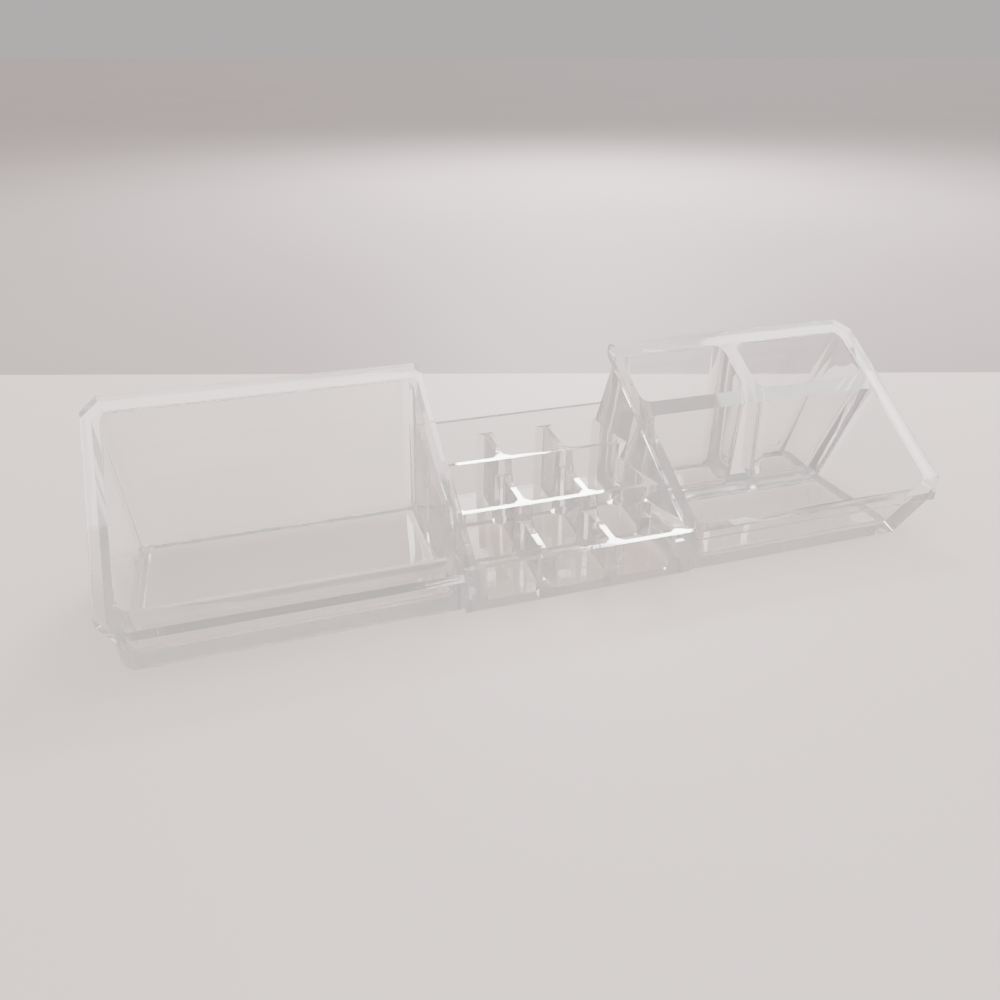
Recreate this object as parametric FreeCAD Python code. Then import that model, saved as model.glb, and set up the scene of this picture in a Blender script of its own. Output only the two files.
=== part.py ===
import FreeCAD, Part
import math
import os

# Clear moulded cosmetic organizer in one piece: a deep tray on the left, a stepped
# block of lipstick slots in the middle and a three-pocket tray on the right.
# X runs along the length, Y to the back and Z up, in millimetres. While modelling,
# X = 0 is the left end of the slot block and Y = 0 its front face. The last step
# moves the origin to the middle of the footprint.

# Sloping rims of both trays
rim_depth = 79.5
rim_front_height = 15.5
rim_slope_deg = 28.6
flange_thickness = 3.2
rim_chamfer = 5.5
rim_small_chamfer = 2.0

# Walls, floors and inner corners
wall = 2.8
floor_thickness = 2.5
draft_deg = 2.0
front_draft_deg = 4.0
corner_chamfer = 3.0
pocket_round = 4.0

# Left tray
left_base_left = -105.2
left_rim_left_front = -109.6
left_rim_left_back = -113.2
left_rim_right = 4.6
left_front_overhang = 3.4
left_side_overhang = 3.2
left_right_overhang = 1.8
back_overhang = 3.6

# Stepped slot block between the trays
slot_pitch = 24.6
slots_per_side = 3
slot_web = 2.0
slot_flange_gap = 0.4
slot_corner = 2.4
slot_taper_deg = 2.4
step_front_height = 16.5
step_rise = 6.3

# Right tray
rim_gap = 76.4
right_rim_right_front = 190.0
right_rim_right_back = 194.0
right_base_left = 67.0
right_base_right = 172.5
right_left_overhang = 1.2
right_side_overhang = 4.0
right_front_recess = 0.8
right_front_wall = 1.8
right_floor_inset = 7.0
divider_front = 45.6
divider_width = 6.0
small_divider_left = 130.0

slope = math.tan(math.radians(rim_slope_deg))
draft = math.tan(math.radians(draft_deg))
front_draft = math.tan(math.radians(front_draft_deg))
slot_taper = math.tan(math.radians(slot_taper_deg))
right_rim_left = left_rim_right + rim_gap
wall_back = rim_depth - back_overhang
tool_clearance = 10.0


def rim_height(y):
    """Height of the rim plane at a depth y."""
    return rim_front_height + slope * y


def between(front, back, y):
    """Straight change of a size from the front to the back of the rim."""
    return front + (back - front) * y / rim_depth


def rectangle(left, right, front, back):
    """Corners in order: front left, front right, back right, back left."""
    return [(left, front), (right, front), (right, back), (left, back)]


def cut_corners(corners, cuts):
    """Replace each (x, y) corner by the two ends of a straight cut, 0 keeps it."""
    outline = []
    for index, cut in enumerate(cuts):
        here = FreeCAD.Vector(*corners[index], 0)
        neighbours = (corners[index - 1], corners[(index + 1) % len(corners)])
        if cut == 0:
            outline.append(corners[index])
            continue
        for neighbour in neighbours:
            point = here + (FreeCAD.Vector(*neighbour, 0) - here).normalize() * cut
            outline.append((point.x, point.y))
    return outline


def level(outline, z):
    """Lift an (x, y) outline to one height."""
    return [FreeCAD.Vector(x, y, z) for x, y in outline]


def on_rim(outline, drop=0.0):
    """Lay an (x, y) outline on a plane that lies drop below the rim plane."""
    return [FreeCAD.Vector(x, y, rim_height(y) - drop) for x, y in outline]


def ruled_solid(low, high):
    """Solid between two flat rings of points."""
    wires = [Part.makePolygon(ring + ring[:1]) for ring in (low, high)]
    return Part.makeLoft(wires, True, True)


def rounded_pocket(foot, mouth):
    """Cutting tool of a tray pocket, rounded below and carried on above the rim."""
    tool = ruled_solid(level(foot, floor_thickness), on_rim(mouth))
    rim_slant = math.sin(math.radians(rim_slope_deg))
    inner_edges = []
    for edge in tool.Edges:
        rise = abs(edge.tangentAt(edge.FirstParameter).z)
        on_floor = edge.CenterOfMass.z < floor_thickness + 0.01
        if on_floor or rise > rim_slant + 0.1:
            inner_edges.append(edge)
    tool = tool.makeFillet(pocket_round, inner_edges)
    mouth_face = max(tool.Faces, key=lambda face: face.CenterOfMass.z)
    return tool.fuse(mouth_face.extrude(FreeCAD.Vector(0, 0, tool_clearance)))


def left_tray():
    """Outside of the left tray: leaning walls under a flange with cut corners."""
    low = rectangle(
        left_base_left,
        left_rim_right - left_right_overhang - wall / 2,
        left_front_overhang - front_draft * rim_front_height,
        wall_back - draft * rim_height(wall_back),
    )
    front = left_front_overhang
    high = [
        (between(left_rim_left_front, left_rim_left_back, front) + left_side_overhang, front),
        (left_rim_right - left_right_overhang, front),
        (left_rim_right - left_right_overhang, wall_back),
        (between(left_rim_left_front, left_rim_left_back, wall_back) + left_side_overhang, wall_back),
    ]
    flange = rectangle(0, left_rim_right, 0, rim_depth)
    flange[0] = (left_rim_left_front, 0)
    flange[3] = (left_rim_left_back, rim_depth)
    wall_cuts = (corner_chamfer, 0, rim_small_chamfer, corner_chamfer)
    body = ruled_solid(
        level(cut_corners(low, wall_cuts), 0),
        on_rim(cut_corners(high, wall_cuts), flange_thickness),
    )
    flange = cut_corners(flange, (rim_chamfer, 0, rim_small_chamfer, rim_chamfer))
    return body.fuse(ruled_solid(on_rim(flange, flange_thickness), on_rim(flange)))


def right_tray():
    """Outside of the right tray: both end walls lean outwards to the right."""
    front = right_front_recess
    low = rectangle(
        right_base_left,
        right_base_right,
        front,
        wall_back - draft * rim_height(wall_back),
    )
    left = right_rim_left + right_left_overhang
    high = [
        (left, front),
        (between(right_rim_right_front, right_rim_right_back, front) - right_side_overhang, front),
        (between(right_rim_right_front, right_rim_right_back, wall_back) - right_side_overhang, wall_back),
        (left, wall_back),
    ]
    flange = [
        (right_rim_left, 0),
        (right_rim_right_front, 0),
        (right_rim_right_back, rim_depth),
        (right_rim_left, rim_depth),
    ]
    wall_cuts = (0, corner_chamfer, corner_chamfer, rim_small_chamfer)
    body = ruled_solid(
        level(cut_corners(low, wall_cuts), 0),
        on_rim(cut_corners(high, wall_cuts), flange_thickness),
    )
    flange = cut_corners(flange, (0, rim_chamfer, rim_chamfer, rim_small_chamfer))
    return body.fuse(ruled_solid(on_rim(flange, flange_thickness), on_rim(flange)))


def slot_block():
    """Stepped block between the trays, each row one step higher to the back."""
    profile = [(0, 0), (0, step_front_height)]
    for row in range(1, slots_per_side + 1):
        riser = row * slot_pitch
        profile.append((riser, step_front_height + (row - 1) * step_rise))
        profile.append((riser, step_front_height + row * step_rise))
    back = slots_per_side * slot_pitch + slot_web
    profile.append((back, step_front_height + slots_per_side * step_rise))
    profile.append((back, 0))
    points = [FreeCAD.Vector(0, y, z) for y, z in profile]
    face = Part.Face(Part.makePolygon(points + points[:1]))
    return face.extrude(FreeCAD.Vector(right_rim_left + right_left_overhang, 0, 0))


def slot_tool(column, row):
    """Cutting tool of one lipstick slot, narrower at the floor than at the top."""
    top = step_front_height + row * step_rise
    width = slot_pitch - slot_web
    left = left_rim_right + slot_flange_gap + column * slot_pitch
    front = slot_web + row * slot_pitch
    mouth = rectangle(left, left + width, front, front + width)
    shrink = slot_taper * (top - floor_thickness)
    foot = rectangle(left + shrink, left + width - shrink, front + shrink, front + width - shrink)
    cuts = (slot_corner,) * 4
    return ruled_solid(
        level(cut_corners(foot, cuts), floor_thickness),
        level(cut_corners(mouth, cuts), top),
    )


def left_pocket():
    """Cutting tool of the one deep pocket of the left tray."""
    front = left_front_overhang + wall
    back = wall_back - wall
    left_front = between(left_rim_left_front, left_rim_left_back, front) + left_side_overhang + wall
    left_back = between(left_rim_left_front, left_rim_left_back, back) + left_side_overhang + wall
    right = left_rim_right - left_right_overhang - wall
    mouth = [(left_front, front), (right, front), (right, back), (left_back, back)]
    foot = rectangle(
        left_base_left + wall,
        right - draft * rim_height(back),
        front + draft * rim_height(front),
        back - draft * rim_height(back),
    )
    return rounded_pocket(foot, mouth)


def right_pocket(left, right_front, right_back, foot_right, front, back):
    """Cutting tool of one pocket of the right tray."""
    mouth = [(left, front), (right_front, front), (right_back, back), (left, back)]
    foot = rectangle(
        left + draft * (rim_height(back) - floor_thickness),
        foot_right,
        front + draft * (rim_height(front) - floor_thickness),
        back - draft * (rim_height(back) - floor_thickness),
    )
    return rounded_pocket(foot, mouth)


def right_pockets():
    """Cutting tools of the wide front pocket and the two small rear pockets."""
    left = right_rim_left + right_left_overhang + wall
    inset = right_side_overhang + wall
    foot_right = right_base_right - right_floor_inset
    front = right_front_recess + right_front_wall
    rear_front = divider_front + divider_width
    rear_back = wall_back - wall

    def right_edge(y):
        return between(right_rim_right_front, right_rim_right_back, y) - inset

    rear_height = rim_height(rear_back) - floor_thickness
    wide = right_pocket(left, right_edge(front), right_edge(divider_front), foot_right, front, divider_front)
    rear_left = right_pocket(
        left, small_divider_left, small_divider_left,
        small_divider_left - draft * rear_height, rear_front, rear_back,
    )
    rear_right = right_pocket(
        small_divider_left + divider_width, right_edge(rear_front), right_edge(rear_back),
        foot_right, rear_front, rear_back,
    )
    return [wide, rear_left, rear_right]


def organizer():
    """Whole moulding, one solid."""
    outside = left_tray().fuse([slot_block(), right_tray()])
    tools = [left_pocket()] + right_pockets()
    for column in range(slots_per_side):
        for row in range(slots_per_side):
            tools.append(slot_tool(column, row))
    return outside.cut(tools).removeSplitter()


shape = organizer()
box = shape.BoundBox
shape.translate(FreeCAD.Vector(-box.Center.x, -box.Center.y, -box.ZMin))
os.makedirs("parts", exist_ok=True)
shape.exportStep("parts/organizer_body.step")
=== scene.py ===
import math

import bpy
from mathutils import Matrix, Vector

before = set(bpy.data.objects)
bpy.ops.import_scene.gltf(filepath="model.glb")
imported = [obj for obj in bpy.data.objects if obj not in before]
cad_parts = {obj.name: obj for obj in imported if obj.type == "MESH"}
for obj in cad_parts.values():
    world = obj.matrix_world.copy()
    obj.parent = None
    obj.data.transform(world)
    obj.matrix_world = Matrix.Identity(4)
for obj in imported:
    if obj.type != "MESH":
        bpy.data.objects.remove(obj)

# Lengths are metres, and lamp powers watts, the sun's watts for a square metre. Angles are
# degrees where the name ends in deg, and radians where it ends in rad.

# Camera at the photograph's place
camera_place = (-0.0949, -0.25075, 0.1633)
camera_tilt_deg = 60.97
camera_turn_deg = -17.41
camera_lens_mm = 29.52
camera_sensor_mm = 36.0
camera_nearest = 0.01
camera_farthest = 50.0

# Clear plastic
plastic_ior = 1.49
plastic_tint = ((0.965, 0.958, 0.955, 1.0), (0.985, 0.982, 0.98, 1.0))
plastic_roughness = (0.012, 0.06)
plastic_clearness = (0.965, 0.915)
wave_height = 0.0004
wave_strength = 0.25
scratch_height = 0.0001
scratch_strength = 0.04
scratch_stretch = (30.0, 260.0, 260.0)
scratch_turn_rad = (0.3, 0.5, 0.4)
trapped_reflections = 2.5
trapped_bounces = 9.5
# Painted glow: an emission standing in for room light on rays caught in the walls
trapped_glow_colour = (0.61, 0.54, 0.522, 1.0)
trapped_glow_strength = 1.5
shadow_colour = (0.872, 0.858, 0.85, 1.0)

# Softened edges of the moulding
weld_distance = 0.00001
edge_softness = 0.0005
edge_segments = 2
edge_least_deg = 28.0

# Table, whose far edge shows behind the part, and the board beyond that edge
far_edge_left = Vector((-0.2009, 0.2448, 0.0))
far_edge_right = Vector((0.2562, 0.1053, 0.0))
table_drop = 0.0003
table_reach = 4.0
table_colours = ((0.80, 0.69, 0.66, 1.0), (0.835, 0.723, 0.69, 1.0))
table_relief = 0.15
board_drop = 0.0018
board_reach = 8.0
board_overlap = 0.02
board_depth = 12.0
board_colours = ((0.43, 0.362, 0.358, 1.0), (0.45, 0.38, 0.376, 1.0))
board_relief = 0.05
paint_relief_height = 0.0002
paint_roughness = 0.55
paint_shine = 0.25

# Light
sun_power = 1.95
sun_angle_deg = 24.0
sun_from = Vector((0.38, 0.62, 1.0))
warm_white = (1.0, 0.985, 0.975)
strip_white = (1.0, 0.99, 0.985)
room_colour = (0.92, 0.885, 0.875, 1.0)

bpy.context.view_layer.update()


def add_camera():
    data = bpy.data.cameras.new("camera")
    data.lens = camera_lens_mm
    data.sensor_width = camera_sensor_mm
    data.clip_start = camera_nearest
    data.clip_end = camera_farthest
    camera = bpy.data.objects.new("camera", data)
    camera.location = camera_place
    camera.rotation_euler = (math.radians(camera_tilt_deg), 0.0, math.radians(camera_turn_deg))
    bpy.context.scene.collection.objects.link(camera)
    bpy.context.scene.camera = camera


# Node helpers
def new_material(name):
    material = bpy.data.materials.new(name)
    material.use_nodes = True
    nodes = material.node_tree.nodes
    nodes.clear()
    output = nodes.new("ShaderNodeOutputMaterial")
    shader = nodes.new("ShaderNodeBsdfPrincipled")
    material.node_tree.links.new(shader.outputs[0], output.inputs["Surface"])
    return material, nodes, material.node_tree.links, shader, output


def noise(nodes, links, source, scale, detail):
    node = nodes.new("ShaderNodeTexNoise")
    node.inputs["Scale"].default_value = scale
    node.inputs["Detail"].default_value = detail
    links.new(source, node.inputs["Vector"])
    return node.outputs["Fac"]


def ramp(nodes, links, source, positions, colours):
    node = nodes.new("ShaderNodeValToRGB")
    links.new(source, node.inputs["Fac"])
    for element, position, colour in zip(node.color_ramp.elements, positions, colours):
        element.position = position
        element.color = colour
    return node.outputs["Color"]


def fade(nodes, links, source, from_range, to_range):
    node = nodes.new("ShaderNodeMapRange")
    for name, value in zip(("From Min", "From Max", "To Min", "To Max"), from_range + to_range):
        node.inputs[name].default_value = value
    links.new(source, node.inputs["Value"])
    return node.outputs["Result"]


def relief(nodes, links, source, strength, height, normal=None):
    node = nodes.new("ShaderNodeBump")
    node.inputs["Strength"].default_value = strength
    node.inputs["Distance"].default_value = height
    links.new(source, node.inputs["Height"])
    if normal is not None:
        links.new(normal, node.inputs["Normal"])
    return node.outputs["Normal"]


def above(nodes, links, source, limit):
    node = nodes.new("ShaderNodeMath")
    node.operation = "GREATER_THAN"
    node.inputs[1].default_value = limit
    links.new(source, node.inputs[0])
    return node.outputs[0]


def combine(nodes, links, operation, first, second):
    node = nodes.new("ShaderNodeMath")
    node.operation = operation
    links.new(first, node.inputs[0])
    links.new(second, node.inputs[1])
    return node.outputs[0]


def mix_shaders(nodes, links, factor, first, second):
    node = nodes.new("ShaderNodeMixShader")
    links.new(factor, node.inputs["Fac"])
    links.new(first, node.inputs[1])
    links.new(second, node.inputs[2])
    return node.outputs[0]


# Plastic of the moulding
def clear_plastic():
    """Water-clear plastic with a thin milky veil, flow waves and hairline scratches."""
    material, nodes, links, shader, output = new_material("clear_plastic_moulded")
    place = nodes.new("ShaderNodeTexCoord").outputs["Object"]
    shader.inputs["IOR"].default_value = plastic_ior
    shader.inputs["Metallic"].default_value = 0.0

    clouds = noise(nodes, links, place, scale=22.0, detail=2.0)
    tint = ramp(nodes, links, clouds, positions=(0.3, 0.75), colours=plastic_tint)
    links.new(tint, shader.inputs["Base Color"])
    breath = noise(nodes, links, place, scale=60.0, detail=4.0)
    haze = fade(nodes, links, breath, from_range=(0.35, 0.8), to_range=plastic_roughness)
    links.new(haze, shader.inputs["Roughness"])
    smears = noise(nodes, links, place, scale=17.0, detail=5.0)
    veil = fade(nodes, links, smears, from_range=(0.3, 0.75), to_range=plastic_clearness)
    links.new(veil, shader.inputs["Transmission Weight"])

    stretch = nodes.new("ShaderNodeMapping")
    stretch.inputs["Scale"].default_value = scratch_stretch
    stretch.inputs["Rotation"].default_value = scratch_turn_rad
    links.new(place, stretch.inputs["Vector"])
    waves = noise(nodes, links, place, scale=28.0, detail=1.5)
    hairlines = noise(nodes, links, stretch.outputs["Vector"], scale=4.0, detail=6.0)
    flow = relief(nodes, links, waves, wave_strength, wave_height)
    scratched = relief(nodes, links, hairlines, scratch_strength, scratch_height, flow)
    links.new(scratched, shader.inputs["Normal"])

    # A path caught in a wall would end black after a few reflections. It ends instead in a painted
    # glow, an emission of a light pinkish grey that stands in for the light the bright room all round
    # would give, and light goes through to the table below.
    rays = nodes.new("ShaderNodeLightPath")
    caught = above(nodes, links, rays.outputs["Glossy Depth"], trapped_reflections)
    deep = above(nodes, links, rays.outputs["Ray Depth"], trapped_bounces)
    ends = combine(nodes, links, "MAXIMUM", caught, deep)
    painted_glow = nodes.new("ShaderNodeEmission")
    painted_glow.inputs["Color"].default_value = trapped_glow_colour
    painted_glow.inputs["Strength"].default_value = trapped_glow_strength
    inside = mix_shaders(nodes, links, ends, shader.outputs[0], painted_glow.outputs[0])
    through = nodes.new("ShaderNodeBsdfTransparent")
    through.inputs["Color"].default_value = shadow_colour
    from_table = combine(
        nodes, links, "MAXIMUM", rays.outputs["Is Shadow Ray"], rays.outputs["Is Diffuse Ray"],
    )
    seen = mix_shaders(nodes, links, from_table, inside, through.outputs[0])
    links.new(seen, output.inputs["Surface"])
    return material


def finish_body():
    """Give the moulding its plastic and its softened edges."""
    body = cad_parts["organizer_body"]
    plastic = clear_plastic()
    if body.material_slots:
        for slot in body.material_slots:
            slot.material = plastic
    else:
        body.data.materials.append(plastic)
    weld = body.modifiers.new("weld", "WELD")
    weld.merge_threshold = weld_distance
    edges = body.modifiers.new("soft_edges", "BEVEL")
    edges.width = edge_softness
    edges.segments = edge_segments
    edges.limit_method = "ANGLE"
    edges.angle_limit = math.radians(edge_least_deg)
    edges.harden_normals = False


# Table and background
def painted_board(name, colours, strength):
    """Matt paint, slightly clouded, with a fine grain."""
    material, nodes, links, shader, output = new_material(name)
    place = nodes.new("ShaderNodeTexCoord").outputs["Object"]
    clouds = noise(nodes, links, place, scale=3.0, detail=3.0)
    tint = ramp(nodes, links, clouds, positions=(0.3, 0.7), colours=colours)
    links.new(tint, shader.inputs["Base Color"])
    grain = noise(nodes, links, place, scale=900.0, detail=3.0)
    links.new(relief(nodes, links, grain, strength, paint_relief_height), shader.inputs["Normal"])
    shader.inputs["Roughness"].default_value = paint_roughness
    shader.inputs["Specular IOR Level"].default_value = paint_shine
    return material


def sheet(name, reach, near, far, drop, material):
    """Flat sheet along the table's far edge, from near to far behind it."""
    along = (far_edge_right - far_edge_left).normalized()
    back = Vector((-along.y, along.x, 0.0))
    middle = (far_edge_left + far_edge_right) / 2
    corners = [
        middle + along * side + back * distance - Vector((0.0, 0.0, drop))
        for side, distance in ((-reach, near), (reach, near), (reach, far), (-reach, far))
    ]
    mesh = bpy.data.meshes.new(name)
    mesh.from_pydata(corners, [], [tuple(range(len(corners)))])
    mesh.update()
    mesh.materials.append(material)
    thing = bpy.data.objects.new(name, mesh)
    bpy.context.scene.collection.objects.link(thing)


# Soft light
def add_light(name, kind, place, target):
    """Lamp at a place, turned to a target."""
    data = bpy.data.lights.new(name, kind)
    lamp = bpy.data.objects.new(name, data)
    lamp.location = place
    aim = Vector(target) - Vector(place)
    lamp.rotation_euler = aim.to_track_quat("-Z", "Y").to_euler()
    bpy.context.scene.collection.objects.link(lamp)
    return data


def area_light(name, place, target, size, power, colour):
    data = add_light(name, "AREA", place, target)
    data.shape = "RECTANGLE"
    data.size = size[0]
    data.size_y = size[1]
    data.energy = power
    data.color = colour


def add_sun():
    data = add_light("key_sun", "SUN", sun_from, (0.0, 0.0, 0.0))
    data.energy = sun_power
    data.angle = math.radians(sun_angle_deg)
    data.color = warm_white


def add_room():
    """Room light, brightest overhead and at the back, dimmer low down and in front."""
    world = bpy.data.worlds.new("studio")
    bpy.context.scene.world = world
    world.use_nodes = True
    nodes = world.node_tree.nodes
    links = world.node_tree.links
    background = nodes["Background"]
    background.inputs["Color"].default_value = room_colour
    direction = nodes.new("ShaderNodeSeparateXYZ")
    links.new(nodes.new("ShaderNodeTexCoord").outputs["Generated"], direction.inputs[0])
    to_back = fade(nodes, links, direction.outputs["Y"], from_range=(-0.7, 0.5), to_range=(0.45, 1.0))
    upwards = fade(nodes, links, direction.outputs["Z"], from_range=(0.05, 0.85), to_range=(0.62, 1.15))
    strength = combine(nodes, links, "MULTIPLY", to_back, upwards)
    links.new(strength, background.inputs["Strength"])


add_camera()
finish_body()
sheet(
    "table_top", table_reach, -table_reach, 0.0, table_drop,
    painted_board("table_white", table_colours, table_relief),
)
sheet(
    "background_board", board_reach, -board_overlap, board_depth, board_drop,
    painted_board("board_grey", board_colours, board_relief),
)
add_sun()
area_light("window", (0.42, 0.95, 0.60), (0.30, 0.55, 0.0), (0.42, 0.16), 20.0, warm_white)
area_light("strip_right", (0.85, 0.11, 0.98), (0.12, 0.0, 0.04), (0.35, 0.35), 4.0, strip_white)
area_light("strip_above", (-0.10, 0.20, 1.25), (-0.10, 0.0, 0.04), (0.65, 0.22), 3.2, strip_white)
add_room()
